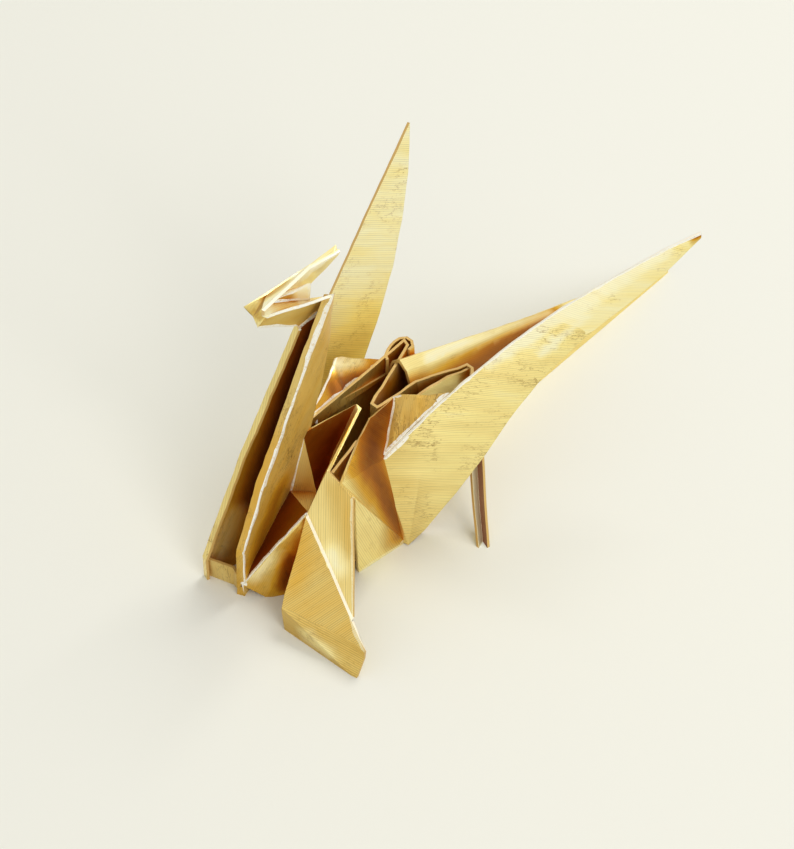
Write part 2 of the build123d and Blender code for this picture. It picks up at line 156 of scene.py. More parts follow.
# The foil's lines turn with each fold, so every panel has its own direction.
# A face belongs to the first panel that fits it.
FLAPS = [
    flap("near_wing", (0.85, -0.48, 0.22), (0.52, 0.82, -0.25), (1.0, -14.8, -1), (14, 14, 32),
         stain=0.6, lines=0.8, tone=0.12, parted=(WING_BEND, BEND_ACROSS, WING_TIP)),
    flap("far_wing", (0.99, 0.1, 0.1), (-0.03, 0.85, -0.53), (-15, -16, 6), (-9.0, 12, 32),
         stain=0.5, lines=0.7, tone=0.03),
    flap("foot_band", (0.22, -0.98, 0.02), (0.98, 0.21, -0.05), (3.0, -29, -1), (12.5, -25.5, 2.6),
         stain=0.55, lines=1, tone=0.33, crumple=0.02),
    flap("front_leg", (0.15, -0.72, 0.68), (0.45, 0.68, 0.58), (0.6, -29, 1.8), (12.5, -18.0, 13),
         stain=0.35, lines=1, tone=0.33, parted=(KNEE, RIDGE_ACROSS, SQUARE_PANEL)),
    # The cavity wall and the inside of the thigh are painted dark amber as painted shade in the hollow.
    flap("cavity_wall", (0.94, -0.14, 0.32), (-0.1, 0.9, 0.4), (-4.5, -21.8, 2), (-1.8, -12, 11.9),
         stain=0.6, lines=0.4, tone=0.9, crumple=0.03),
    flap("thigh_inside", (-0.6, -0.53, 0.6), (0.18, 0.44, 0.88), (-4.6, -28.6, -1), (1, -19, 10),
         stain=0.6, lines=0.4, tone=0.8, crumple=0.03),
    flap("neck_hem", (0.39, -0.78, 0.48), (-0.1, 0.5, 0.86), (-4.6, -29, -1), (-1.5, -14, 27),
         stain=0.6, lines=0.2, tone=0.3, recess=0.3, alike=0.93, matt=0.8),
    flap("thigh", (0.77, -0.62, 0.15), (0.18, 0.44, 0.88), (-2.5, -29, -1), (3.2, -22, 9),
         stain=0.55, lines=0.4, tone=0.42, crumple=0.07),
    flap("waist", (0.77, 0.2, 0.6), (0.1, 0.45, -0.89), (-2.0, -20, 8), (3, -9, 13),
         stain=0.5, lines=0.6, tone=0.16, crumple=0.02),
    flap("flank", (0.93, 0.29, 0.25), (0.1, 0.45, -0.89), (0.0, -21, -1), (4.6, -9, 13),
         stain=0.3, lines=0.6, tone=0.1),
    flap("pocket", (0.0, -0.58, 0.82), (-0.55, 0.68, 0.49), (-2, -15, 8.5), (4.6, -6, 15),
         stain=0.8, lines=0.3, tone=0.38, crumple=0.05, recess=0.3, matt=0.6),
    flap("far_pocket", (0.56, 0.3, 0.77), (-0.42, 0.91, -0.05), (-9, -17.5, 8.5), (-4.3, -5, 12.6),
         stain=0.7, lines=0.3, tone=0.56, crumple=0.06, recess=0.6),
    flap("neck_near", (0.96, 0.27, -0.11), (-0.11, 0.69, 0.71), (-4.0, -29, -1), (-1.6, -14, 27),
         stain=0.65, lines=0.25, tone=0.38, crumple=0.04, recess=0.0, matt=0.95),
    flap("neck_far", (0.96, -0.27, 0.1), (0.06, 0.5, 0.86), (-6.6, -30, -1), (-3.8, -14, 25),
         stain=0.45, lines=0.4, tone=0.58, crumple=0.03, recess=0.8, matt=0.4),
    flap("chest", (0.39, -0.92, 0.03), (-0.1, 0.1, 1.0), (-5.2, -29.6, -1), (-3.0, -27.7, 3.6),
         stain=0.6, lines=0.2, tone=0.3, crumple=0.02, recess=0.0, matt=0.8),
    flap("jaw", (0.92, -0.2, -0.34), (0.0, 1.0, 0.2), (-5.5, -23.6, 22.5), (-3.6, -16.5, 26.3),
         stain=0.6, lines=0.2, tone=0.34, crumple=0.02, recess=0.2, matt=0.9),
    flap("far_hem", (0.39, -0.78, 0.48), (-0.1, 0.5, 0.86), (-7.5, -30, -1), (-4.6, -14, 26),
         stain=0.9, lines=0.2, tone=0.42, recess=0.6, matt=0.5),
    flap("cheek", (1.0, 0.0, -0.03), (0.0, 1.0, 0.2), (-4.2, -22.2, 26), (-3.6, -17.4, 29),
         stain=0.1, lines=0.0, tone=0.0, recess=0.0),
    flap("head", (0.3, -0.4, 0.85), (0.0, 1.0, 0.2), (-7, -26, 22.5), (-2, -13.5, 32),
         stain=0.45, lines=0.3, tone=0.06, crumple=0.03, alike=-1.0),
    flap("pleat_front", (0.93, 0.38, 0.0), (0.0, 0.3, 1.0), (-5.2, -10.5, 3), (-2.5, -6, 12),
         stain=0.5, lines=0.4, tone=0.72, crumple=0.03, recess=0.0, alike=0.97, matt=0.9),
    flap("tail_top", (0.62, 0.25, 0.74), (-0.1, 0.94, -0.35), (-5.4, -6, 0), (-1.0, 30, 12.7),
         stain=0.3, lines=0.3, tone=0.12, alike=0.9),
    flap("tail", (0.99, 0.08, 0.1), (-0.04, 0.94, -0.35), (-8, -8, -1), (0.5, 30, 13),
         stain=0.3, lines=0.3, tone=0.14),
    flap("pleats", (0.97, 0.0, 0.1), (0.0, 0.3, 1.0), (-9, -21, 1), (1.2, -2.5, 12.2),
         stain=0.6, lines=0.4, tone=0.3, crumple=0.02),
    # The leg's slit is painted dark as painted shade.
    flap("leg_slit", (-0.21, -0.89, 0.4), (0.1, 0.1, 1.0), (2.5, -12, -1), (9.5, -5, 9.5),
         stain=0.4, lines=0.3, tone=1.0, alike=0.9, matt=0.8),
    flap("rear_leg", (0.7, -0.7, 0.0), (0.1, 0.1, 1.0), (2.5, -12, -1), (9.5, -5, 9.5),
         stain=0.4, lines=0.3, tone=0.0, recess=0.2, alike=-1.0),
]
PLAIN = flap("plain", (0.7, -0.7, 0.0), (0.0, 0.3, 1.0), NOWHERE, NOWHERE,
             stain=0.5, lines=0.5, tone=0.2, crumple=0.02)
PANELS = FLAPS + [PLAIN]

# Amber painted on the panels along lines. It is painted shade in the folds of the flank and waist, along the
# tail's side below the near wing, low on the far wing and inside the neck, and the foil's own tarnish at the
# wing's tip and on the head. Each gives the panels, the ends of a line in mm, how far the amber spreads from
# it, and how deep it is.
SHADE_AND_TARNISH_MARKS = [
    (("flank", "waist"), (-2.2, -11.6, 12.0), (1.5, -16.2, 10.1), 4.6, 0.8),
    (("flank",), (1.5, -16.2, 10.0), (3.4, -14.4, 2.2), 3.2, 0.8),
    (("flank", "waist"), (1.2, -18.6, 10.8), (2.4, -17.0, 7.6), 2.6, 0.5),
    (("near_wing",), (1.2, -14.4, 9.0), (3.9, -14.0, 0.2), 4.5, 0.1),
    (("wing_tip",), (13.0, 11.2, 26.0), (12.7, 10.8, 25.7), 0.8, 0.8),
    (("tail", "tail_top"), (-2.5, -5.6, 8.2), (-3.6, 11.5, 5.0), 3.3, 0.78),
    (("far_wing",), (-9.6, -11.5, 9.0), (-9.4, -6.0, 10.0), 5.0, 0.22),
    (("neck_far",), (-4.6, -16.8, 22.0), (-4.8, -24.0, 7.0), 2.6, 0.5),
    (("neck_near",), (-2.6, -22.5, 8.0), (-2.6, -26.5, 3.0), 2.5, 0.3),
    (("cheek",), (-3.8, -22.0, 28.6), (-3.8, -19.6, 27.6), 1.7, 0.5),
    (("head",), (-3.9, -22.0, 29.4), (-3.5, -20.6, 30.1), 0.9, 0.75),
    (("head",), (-4.7, -23.4, 28.2), (-4.3, -22.8, 27.0), 0.8, 0.45),
    (("neck_hem",), (-2.4, -23.5, 13.5), (-3.6, -28.0, 4.0), 5.0, 0.16),
    (("far_pocket",), (-6.2, -13.1, 11.2), (-6.0, -9.0, 10.2), 1.6, 0.36),
    (("thigh",), (0.5, -25.0, 3.8), (0.3, -25.6, 1.0), 1.3, 0.5),
    (("square_panel",), (2.4, -21.0, 11.2), (6.2, -22.4, 8.2), 2.2, 0.14),
    (("front_leg",), (1.4, -24.4, 7.0), (3.0, -26.8, 4.2), 2.2, 0.08),
]

# Painted highlights: where the foil is painted pale as if it caught the light, given in the same way.
PAINTED_HIGHLIGHT_MARKS = [
    (("near_wing", "wing_tip"), (4.4, -5.0, 16.2), (11.4, 8.4, 24.6), 1.1, 0.4),
    (("near_wing", "wing_tip"), (8.6, 2.0, 19.2), (7.2, -1.6, 16.4), 0.7, 0.5),
    (("tail", "tail_top"), (-3.5, -4.4, 10.9), (-3.7, 12.0, 5.9), 0.9, 0.4),
    (("head",), (-3.0, -23.0, 29.0), (-2.9, -17.0, 30.6), 1.3, 0.75),
    (("head",), (-3.9, -18.6, 26.6), (-3.8, -17.8, 27.0), 0.9, 1.0),
    (("far_pocket",), (-7.9, -11.6, 12.0), (-7.6, -8.6, 10.9), 1.2, 0.7),
    (("pleat_front",), (-4.0, -8.6, 12.2), (-3.9, -7.0, 11.8), 1.2, 0.4),
    (("thigh",), (-1.6, -27.4, 2.4), (-0.6, -26.0, 4.4), 1.3, 0.5),
    (("square_panel",), (4.6, -24.0, 7.0), (5.6, -24.2, 6.4), 1.5, 0.35),
    (("foot_band",), (5.6, -28.3, 1.2), (8.6, -28.2, 0.9), 0.9, 0.45),
    (("cheek",), (-3.8, -18.4, 27.6), (-3.8, -17.8, 27.0), 1.8, 1.0),
    (("neck_far",), (-5.6, -27.8, 2.0), (-5.3, -26.0, 6.0), 1.6, 0.35),
]

# Folds with a highlight painted along their turn, as if it caught the light: a box in mm, the way each side
# of the fold faces, or None where only one side is painted, how bright it is, and how wide on each side, in
# mm.
PAINTED_FOLD_HIGHLIGHTS = [
    ((-4.6, -29, 1), (-1.5, -15, 8.5), (0.39, -0.78, 0.48), (0.96, 0.26, -0.1), 1.0, 0.13),
    ((-4.6, -29, 8.5), (-1.5, -15, 27), (0.39, -0.78, 0.48), (0.96, 0.26, -0.1), 1.0, 0.18),
    ((1.0, -15, 8.5), (13.6, 11.7, 27), (0.82, -0.5, 0.25), (-0.48, -0.4, 0.78), 1.0, 0.14),
    ((-2.2, -28.5, 1), (1, -22.8, 8.8), (0.74, -0.64, 0.18), (-0.6, -0.52, 0.61), 1.0, 0.14),
    ((-5.3, -22.4, 23), (-2.4, -12, 31.5), (0.95, 0, 0.3), None, 1.0, 0.12),
    ((-5.2, -23, 23), (-4.4, -18, 25.9), (0.92, -0.2, -0.34), (-0.43, -0.46, -0.78), 1.0, 0.16),
    ((-4.0, -18.6, 29), (-2.5, -14, 31.5), (0.95, 0.0, -0.32), (0.4, 0.14, 0.91), 1.0, 0.14),
    ((-9, -17.5, 9.3), (-4.4, -10.5, 12.3), (0.56, 0.3, 0.77), None, 0.8, 0.12),
    ((-1.6, -14.6, 8.8), (1.3, -10, 12.5), (0.0, -0.58, 0.82), None, 0.8, 0.14),
    ((3.9, -29, 1.5), (12.5, -20.6, 11.3), (0.13, -0.75, 0.64), None, 0.5, 0.1),
    ((0.9, -21, -0.1), (4.2, -13.9, 0.6), (0.93, 0.1, 0.1), None, 0.5, 0.12),
]

# The tail and the near wing's tip, as boxes in mm, are rolled rather than creased:
# their bends up to this many degrees are soft.
SOFT_BENDS = [((-5.6, -5.2, 0), (-1.5, 30, 13)), ((6.5, -1.5, 14), (14, 12, 27))]
SOFT_TURN = 45

# Cut edges painted the white of the paper's core where they catch the light, which also serves as a painted
# highlight, as boxes in mm. The others are dulled by handling.
WHITE_RIMS = [
    ((0.9, -14.9, 8.6), (4.6, -6.0, 15.6)),
    ((2.9, -9.0, 12.5), (13.6, 11.7, 27)),
    ((-2.2, -28.5, 1), (1, -22.8, 8.8)),
    ((-5.3, -22.4, 23), (-2.4, -12, 31.5)),
    ((-9, -17.5, 9.3), (-4.4, -10.5, 12.3)),
]


def crease(low, high, point, across, lift, before, after, step=False):
    """A pressed line: a box and a plane in mm, how far it lifts, and how far that fades to each side.

    At a step the upper layer's cut edge shows.
    """
    return {
        "low": Vector(low),
        "high": Vector(high),
        "point": Vector(point),
        "across": Vector(across).normalized(),
        "lift": Vector(lift),
        "before": before,
        "after": after,
        "step": step,
    }


# The edge of the leg's front layer, two creases in the near pocket, and one in the far pocket.
CREASES = [
    crease((0.6, -28.6, 2.2), (11.6, -22.6, 8.8), KNEE, RIDGE_ACROSS,
           (0.05, -0.2, 0.2), 2.6, 0.16, step=True),
    crease((-1.4, -13.2, 9.5), (3.4, -8.4, 13), (0.2, -11.4, 11.0), (0.93, 0.3, 0.2),
           (0.0, -0.04, 0.06), 0.7, 0.35),
    crease((-1.4, -13.2, 9.5), (3.4, -8.4, 13), (1.3, -10.6, 11.6), (0.85, 0.42, 0.3),
           (0.0, -0.04, 0.05), 0.6, 0.4),
    crease((-8.2, -16.4, 9), (-5, -8, 12), (-6.6, -12.4, 11.0), (0.3, 0.9, -0.3),
           (0.08, 0.04, 0.13), 0.9, 0.5),
]


def linear(colour):
    """The linear red, green, blue and alpha of an sRGB hex value."""
    channels = [int(colour[index:index + 2], 16) / 255 for index in (1, 3, 5)]
    return [c / 12.92 if c <= 0.04045 else ((c + 0.055) / 1.055) ** 2.4 for c in channels] + [1.0]


def add_node(tree, kind, settings=(), links=()):
    """A new shader node with its settings, its input values and its incoming links."""
    made = tree.nodes.new(kind)
    for key, value in dict(settings).items():
        if isinstance(key, str) and hasattr(made, key):
            setattr(made, key, value)
        else:
            made.inputs[key].default_value = value
    for key, source in dict(links).items():
        tree.links.new(source, made.inputs[key])
    return made


def within(place, low, high):
    """Whether a place lies in a box."""
    return all(low[axis] <= place[axis] <= high[axis] for axis in range(3))


def panel_number(centre, normal):
    """The panel that a face belongs to, by its place and the way it faces."""
    for index, one in enumerate(FLAPS):
        if within(centre, one["low"], one["high"]) and abs(normal.dot(one["facing"])) > one["alike"]:
            return index
    return len(FLAPS)


def merged_copy(node):
    """The CAD sheet as one closed mesh whose flat panels are whole."""
    sheet = bmesh.new()
    sheet.from_mesh(node.data)
    bmesh.ops.remove_doubles(sheet, verts=sheet.verts, dist=WELD)
    bmesh.ops.dissolve_limit(sheet, angle_limit=math.radians(FLAT_DEGREES),
                             verts=sheet.verts, edges=sheet.edges)
    return sheet


def mark_folds(sheet, sharp_degrees):
    """Keeps folds and cut edges crisp, and lets the soft bends shade as curves."""
    for edge in sheet.edges:
        middle = (edge.verts[0].co + edge.verts[1].co) / 2 / MM
        most = SOFT_TURN if any(within(middle, *box) for box in SOFT_BENDS) else sharp_degrees
        edge.smooth = len(edge.link_faces) == 2 and edge.calc_face_angle(0) < math.radians(most)
    for face in sheet.faces:
        face.smooth = True


def label_panels(sheet):
    """Notes which panel each face belongs to, while the faces are whole."""
    panel = sheet.faces.layers.int.new("panel")
    for face in sheet.faces:
        face[panel] = panel_number(face.calc_center_median_weighted() / MM, face.normal)


def level_patch(start, level):
    """The faces joined to one face by edges that hardly turn."""
    patch = [start]
    found = {start}
    for face in patch:
        for edge in face.edges:
            for other in edge.link_faces:
                if other not in found and edge.calc_face_angle(0) < level:
                    found.add(other)
                    patch.append(other)
    return patch, found


def mark_rims(sheet, paper):
    """Notes the narrow strips along the sheet's cut edges, where the paper's core shows."""
    rim = sheet.faces.layers.float.new("rim")
    level, steep = math.radians(12), math.radians(50)
    dull, white = 0.5, 1.0
    widest, shortest, mostly = 1.25 * paper, 4 * paper, 0.7
    done = set()
    for start in sheet.faces:
        if start in done:
            continue
        patch, found = level_patch(start, level)
        done |= found
        outline = [edge for face in patch for edge in face.edges
                   if not all(other in found for other in edge.link_faces)]
        length = sum(edge.calc_length() for edge in outline)
        turning = sum(edge.calc_length() for edge in outline if edge.calc_face_angle(0) > steep)
        width = 2 * sum(face.calc_area() for face in patch) / max(length, TINY)
        if width < widest and length > shortest and turning > mostly * length:
            for face in patch:
                centre = face.calc_center_median() / MM
                face[rim] = white if any(within(centre, *box) for box in WHITE_RIMS) else dull


def highlighted_fold(edge):
    """The ends of a fold with a painted highlight, the sides that are painted, how bright it is and how wide,
    or None.
    """
    if edge.smooth or len(edge.link_faces) != 2:
        return None
    alike = 0.85
    ends = [vert.co.copy() for vert in edge.verts]
    middle = (ends[0] + ends[1]) / 2 / MM
    first, second = (face.normal.copy() for face in edge.link_faces)
    for low, high, one_side, other_side, strength, width in PAINTED_FOLD_HIGHLIGHTS:
        if not within(middle, low, high):
            continue
        for a, b in ((first, second), (second, first)):
            if a.dot(Vector(one_side).normalized()) > alike:
                if other_side is None:
                    return *ends, [a], strength, width * MM
                if b.dot(Vector(other_side).normalized()) > alike:
                    return *ends, [a, b], strength, width * MM
    return None


def distance_to_line(place, start, end):
    """How far a place is from a straight piece of line."""
    run = end - start
    share = min(1.0, max(0.0, (place - start).dot(run) / max(run.length_squared, TINY ** 2)))
    return (place - start - run * share).length


def mark_fold_highlights(sheet):
    """Cuts a narrow strip along the folds with a painted highlight, and notes how bright it is painted."""
    shine = sheet.faces.layers.float.new("shine")
    alike, inside = 0.9, 0.8
    folds = [found for found in (highlighted_fold(edge) for edge in sheet.edges) if found]
    for start, end, sides, strength, width in folds:
        along = (end - start).normalized()
        for side in sides:
            inward = side.cross(along)
            near = [face for face in sheet.faces if face.normal.dot(side) > alike
                    and any(distance_to_line(vert.co, start, end) < width for vert in face.verts)]
            reach = sum(((face.calc_center_median() - start).dot(inward) for face in near), 0.0)
            inward *= 1 if reach > 0 else -1
            parts = dict.fromkeys(part for face in near for part in (*face.verts, *face.edges))
            bmesh.ops.bisect_plane(sheet, geom=[*parts, *near], dist=CUT_SLACK,
                                   plane_co=start + inward * width, plane_no=inward)
    for face in sheet.faces:
        centre = face.calc_center_median()
        for start, end, sides, strength, width in folds:
            turned = any(face.normal.dot(side) > alike for side in sides)
            if turned and distance_to_line(centre, start, end) < inside * width:
                face[shine] = max(face[shine], strength)


def press_creases(sheet):
    """Cuts each pressed line into its panel and lifts it, front and back together."""
    rim = sheet.faces.layers.float["rim"]
    for one in CREASES:
        for offset in (-one["before"], -one["before"] / 2, 0.0, one["after"] / 2, one["after"]):
            faces = [face for face in sheet.faces
                     if within(face.calc_center_median() / MM, one["low"], one["high"])]
            around = dict.fromkeys(part for face in faces for part in (*face.verts, *face.edges))
            place = (one["point"] + one["across"] * offset) * MM
            bmesh.ops.bisect_plane(sheet, geom=[*around, *faces], dist=CUT_SLACK,
                                   plane_co=place, plane_no=one["across"])
        for face in sheet.faces:
            centre = face.calc_center_median() / MM
            offset = (centre - one["point"]).dot(one["across"])
            # The step's cut edge is painted the white of the core, which also serves as a painted highlight
            # along the leg's edge.
            if one["step"] and 0 < offset < one["after"] and within(centre, one["low"], one["high"]):
                face[rim] = 1.0
        for vert in sheet.verts:
            place = vert.co / MM
            if not within(place, one["low"], one["high"]):
                continue
            offset = (place - one["point"]).dot(one["across"])
            share = 1 + offset / one["before"] if offset < 0 else 1 - offset / one["after"]
            vert.co += one["lift"] * max(0.0, share) * MM


def slice_evenly(sheet, cell):
    """Cuts every panel into small cells, so that it can bend."""
    low, high = CAD_BOX
    for axis in range(3):
        across = Vector((0, 0, 0))
        across[axis] = 1
        count = int((high[axis] - low[axis]) / cell)
        for step in range(1, count + 1):
            place = low + (high - low) * (step / (count + 1))
            geometry = sheet.verts[:] + sheet.edges[:] + sheet.faces[:]
            bmesh.ops.bisect_plane(sheet, geom=geometry, dist=CUT_SLACK, plane_co=place, plane_no=across)


def ease_bends(sheet, passes):
    """Rounds the soft bends, with folds and cut edges held."""
    free = [vert for vert in sheet.verts if all(edge.smooth for edge in vert.link_edges)]
    for _ in range(passes):
        bmesh.ops.smooth_vert(sheet, verts=free, factor=0.5,
                              use_axis_x=True, use_axis_y=True, use_axis_z=True)


def wave_sheet(sheet, wave):
    """Gives the panels the slight waves and crumples of handled paper, inside the CAD box."""
    low, high = CAD_BOX
    broad_mm, fine_mm, calm_mm = 5.5, 1.3, 0.8
    shift = Vector((WAVE_START, -WAVE_START, 2 * WAVE_START))
    noise.seed_set(WAVE_SEED)
    panel = sheet.faces.layers.int["panel"]
    for vert in sheet.verts:
        place = vert.co / MM
        crumple = max(PANELS[face[panel]]["crumple"] for face in vert.link_faces)
        broad = noise.noise_vector(place / broad_mm + shift) * (wave / MM)
        fine = noise.noise_vector(place / fine_mm - shift) * crumple * 2
        room = min(min(vert.co[axis] - low[axis], high[axis] - vert.co[axis]) for axis in range(3)) / MM
        vert.co += (broad + fine) * MM * min(1, max(0, room) / calm_mm)


def marks_at(marks, name, place):
    """How strong a panel's marks are at a place in mm: they fade smoothly away from their lines."""
    strongest = 0.0
    for names, start, end, spread, depth in marks:
        if name not in names:
            continue
        run = Vector(end) - Vector(start)
        share = min(1.0, max(0.0, (place - Vector(start)).dot(run) / run.length_squared))
        away = (place - Vector(start) - run * share).length
        fade = max(0.0, 1 - away / spread)
        strongest = max(strongest, depth * fade * fade * (3 - 2 * fade))
    return strongest


def paint_sheet(mesh):
    """Writes each panel's line direction to a UV map, and its wear and tone to attributes.

    Wear holds the rim, stain, painted fold highlight and line strength, and tone the depth with its painted
    shade and highlights, the painted highlight, the recess that scales the painted shade in hollows, and
    matt.
    """
    mesh.uv_layers.new(name=HAIRLINES)
    mesh.attributes.new(WEAR, "FLOAT_COLOR", "CORNER")
    mesh.attributes.new(TONE, "FLOAT_COLOR", "CORNER")
    lines = mesh.uv_layers[HAIRLINES]
    wear = mesh.attributes[WEAR]
    tone = mesh.attributes[TONE]
    rim = mesh.attributes["rim"]
    shine = mesh.attributes["shine"]
    panel = mesh.attributes["panel"]
    for polygon in mesh.polygons:
        one = PANELS[panel.data[polygon.index].value]
        if one["parted"]:
            point, across, beyond = one["parted"]
            one = beyond if (polygon.center / MM - point).dot(across) > 0 else one
        # The marks are on the side that the photograph shows, and the hidden side is plain.
        marked = polygon.normal.dot(one["facing"]) > 0
        for corner in polygon.loop_indices:
            index = mesh.loops[corner].vertex_index
            place = mesh.vertices[index].co / MM
            lines.data[corner].uv = (place.dot(one["run"]), place.dot(one["cross"]))
            wear.data[corner].color = (
                rim.data[polygon.index].value, one["stain"], shine.data[polygon.index].value, one["lines"])
            gleam = marks_at(PAINTED_HIGHLIGHT_MARKS, one["name"], place) if marked else 0.0
            amber = marks_at(SHADE_AND_TARNISH_MARKS, one["name"], place) if marked else 0.0
            base = one["tone"] if marked else min(one["tone"], PLAIN["tone"])
            # The painted shade and tarnish marks deepen the tone, and the painted highlights lighten it.
            depth = base + amber * (1 - gleam) - gleam / 2
            tone.data[corner].color = (depth, gleam, one["recess"], one["matt"])


def gold_foil_paper(finish):
    """Gold foil paper: lacquered metal foil on thin paper, rolled with fine lines and worn at its folds.

    It gives the eye a soft metal gleam that turns to deep orange where the foil faces itself, deepened by
    painted shade in the folds and hollows, fine lines that change direction at each fold, brown rubbed marks,
    painted highlights along the folds and at marked places, and pale cut edges.
    """
    material = bpy.data.materials.new("gold_foil_paper")
    material.use_nodes = True
    tree = material.node_tree
    tree.nodes.clear()
    uv = add_node(tree, "ShaderNodeUVMap", {"uv_map": HAIRLINES})
    wear = add_node(tree, "ShaderNodeAttribute", {"attribute_name": WEAR})
    parts = add_node(tree, "ShaderNodeSeparateColor", links={"Color": wear.outputs["Color"]})
    painted = add_node(tree, "ShaderNodeAttribute", {"attribute_name": TONE})
    depths = add_node(tree, "ShaderNodeSeparateColor", links={"Color": painted.outputs["Color"]})
    panel_tone, panel_gleam, panel_recess = depths.outputs
    coords = add_node(tree, "ShaderNodeTexCoord")
    rim, stain, shine = parts.outputs

    # Lines rolled into the foil, none quite like the next. The UV map is in millimetres, the wave's scale
    # draws one line to a unit, and the spacing is as coarse as the lines need to show.
    spacing = finish.line_spacing / MM
    stretch = add_node(tree, "ShaderNodeMapping", {"Scale": (LINE_STRETCH, 1 / spacing, 1)},
                       {"Vector": uv.outputs[0]})
    lines = add_node(tree, "ShaderNodeTexWave", {
        "wave_type": "BANDS", "bands_direction": "Y", "wave_profile": "SIN",
        "Scale": 0.314, "Distortion": 0.25, "Detail": 1.0, "Detail Scale": 1.0,
    }, {"Vector": stretch.outputs[0]})
    brushed = add_node(tree, "ShaderNodeTexNoise", {"Scale": 1.3, "Detail": 1.0, "Roughness": 0.5},
                       {"Vector": stretch.outputs[0]})
    uneven = add_node(tree, "ShaderNodeMapRange", {"From Min": 0.35, "From Max": 0.65, "To Min": 0.5},
                      {"Value": brushed.outputs["Fac"]})
    ridge = add_node(tree, "ShaderNodeMath", {"operation": "MULTIPLY"},
                     {0: lines.outputs["Fac"], 1: uneven.outputs[0]})
    strength = add_node(tree, "ShaderNodeMath", {"operation": "MULTIPLY"},
                        {0: ridge.outputs[0], 1: wear.outputs["Alpha"]})

    # Long soft streaks, and patches where the foil has dulled.
    streak_map = add_node(tree, "ShaderNodeMapping", {"Scale": STREAKS_PER_MM}, {"Vector": uv.outputs[0]})
    streaks = add_node(tree, "ShaderNodeTexNoise", {"Scale": 1.0, "Detail": 4.0, "Roughness": 0.6},
                       {"Vector": streak_map.outputs[0]})
    patches = add_node(tree, "ShaderNodeTexNoise", {
        "Scale": PATCHES_PER_MM / MM, "Detail": 4.0, "Roughness": 0.6,
    }, {"Vector": coords.outputs["Object"]})

    # Thin scratches that run across the lines, where the noise passes its middle value, and flecks of wear.
    scratch_map = add_node(tree, "ShaderNodeMapping", {
        "Scale": SCRATCHES_PER_MM, "Rotation": (0, 0, math.radians(SCRATCH_DEGREES)),
    }, {"Vector": uv.outputs[0]})
    scratch = add_node(tree, "ShaderNodeTexNoise", {"Scale": 0.8, "Detail": 5.0, "Roughness": 0.65},
                       {"Vector": scratch_map.outputs[0]})
    middle = add_node(tree, "ShaderNodeMath", {"operation": "SUBTRACT", 1: 0.5},
                      {0: scratch.outputs["Fac"]})
    ridged = add_node(tree, "ShaderNodeMath", {"operation": "ABSOLUTE"}, {0: middle.outputs[0]})
    thin = add_node(tree, "ShaderNodeMapRange", {"From Min": 0.02, "From Max": 0.003},
                    {"Value": ridged.outputs[0]})
    specks = add_node(tree, "ShaderNodeTexNoise", {
        "Scale": SPECKS_PER_MM / MM, "Detail": 2.0, "Roughness": 0.6,
    }, {"Vector": coords.outputs["Object"]})
    fleck = add_node(tree, "ShaderNodeMapRange", {"From Min": 0.62, "From Max": 0.72},
                     {"Value": specks.outputs["Fac"]})
    scuffs = add_node(tree, "ShaderNodeMath", {"operation": "MAXIMUM"},
                      {0: thin.outputs[0], 1: fleck.outputs[0]})
    worn = add_node(tree, "ShaderNodeMath", {"operation": "MULTIPLY_ADD", 1: 0.5},
                    {0: stain, 2: patches.outputs["Fac"]})
    where = add_node(tree, "ShaderNodeMapRange", {"From Min": 0.74, "From Max": 0.98},
                     {"Value": worn.outputs[0]})
    marks = add_node(tree, "ShaderNodeMath", {"operation": "MULTIPLY"},
                     {0: scuffs.outputs[0], 1: where.outputs[0]})
    smudge = add_node(tree, "ShaderNodeMapRange", {"From Min": 0.95, "From Max": 1.2, "To Max": 0.7},
                      {"Value": worn.outputs[0]})
    dulled = add_node(tree, "ShaderNodeMath", {"operation": "MULTIPLY_ADD", 1: 0.75, "use_clamp": True},
                      {0: marks.outputs[0], 2: smudge.outputs[0]})

    # Colours: pale where the foil is clean, deeper along its streaks, and amber to brown as the tone deepens
    # with tarnish and painted shade. Rubbed marks take the patina.
    spread = add_node(tree, "ShaderNodeMapRange", {
        "From Min": 0.3, "From Max": 0.7, "To Min": -0.05, "To Max": 0.06,
    }, {"Value": streaks.outputs["Fac"]})
    depth = add_node(tree, "ShaderNodeMath", {"operation": "ADD", "use_clamp": True},
                     {0: panel_tone, 1: spread.outputs[0]})
    tone = add_node(tree, "ShaderNodeValToRGB", links={"Fac": depth.outputs[0]})
    tone.color_ramp.elements[0].color = linear(finish.pale_gold)
    tone.color_ramp.elements[1].color = linear(finish.brown)
    between = ((0.1, finish.light_gold), (0.3, finish.gold), (0.5, finish.deep_gold), (0.75, finish.amber))
    for position, colour in between:
        tone.color_ramp.elements.new(position).color = linear(colour)
    groove = add_node(tree, "ShaderNodeMapRange", {"From Max": 0.9, "To Min": 1.06, "To Max": 0.72},
                      {"Value": ridge.outputs[0]})
    lined = add_node(tree, "ShaderNodeMix", {"data_type": "RGBA", "blend_type": "MULTIPLY"},
                     {"Factor": wear.outputs["Alpha"], 6: tone.outputs["Color"], 7: groove.outputs[0]})
    stained = add_node(tree, "ShaderNodeMix", {"data_type": "RGBA", 7: linear(finish.patina)},
                       {"Factor": dulled.outputs[0], 6: lined.outputs[2]})

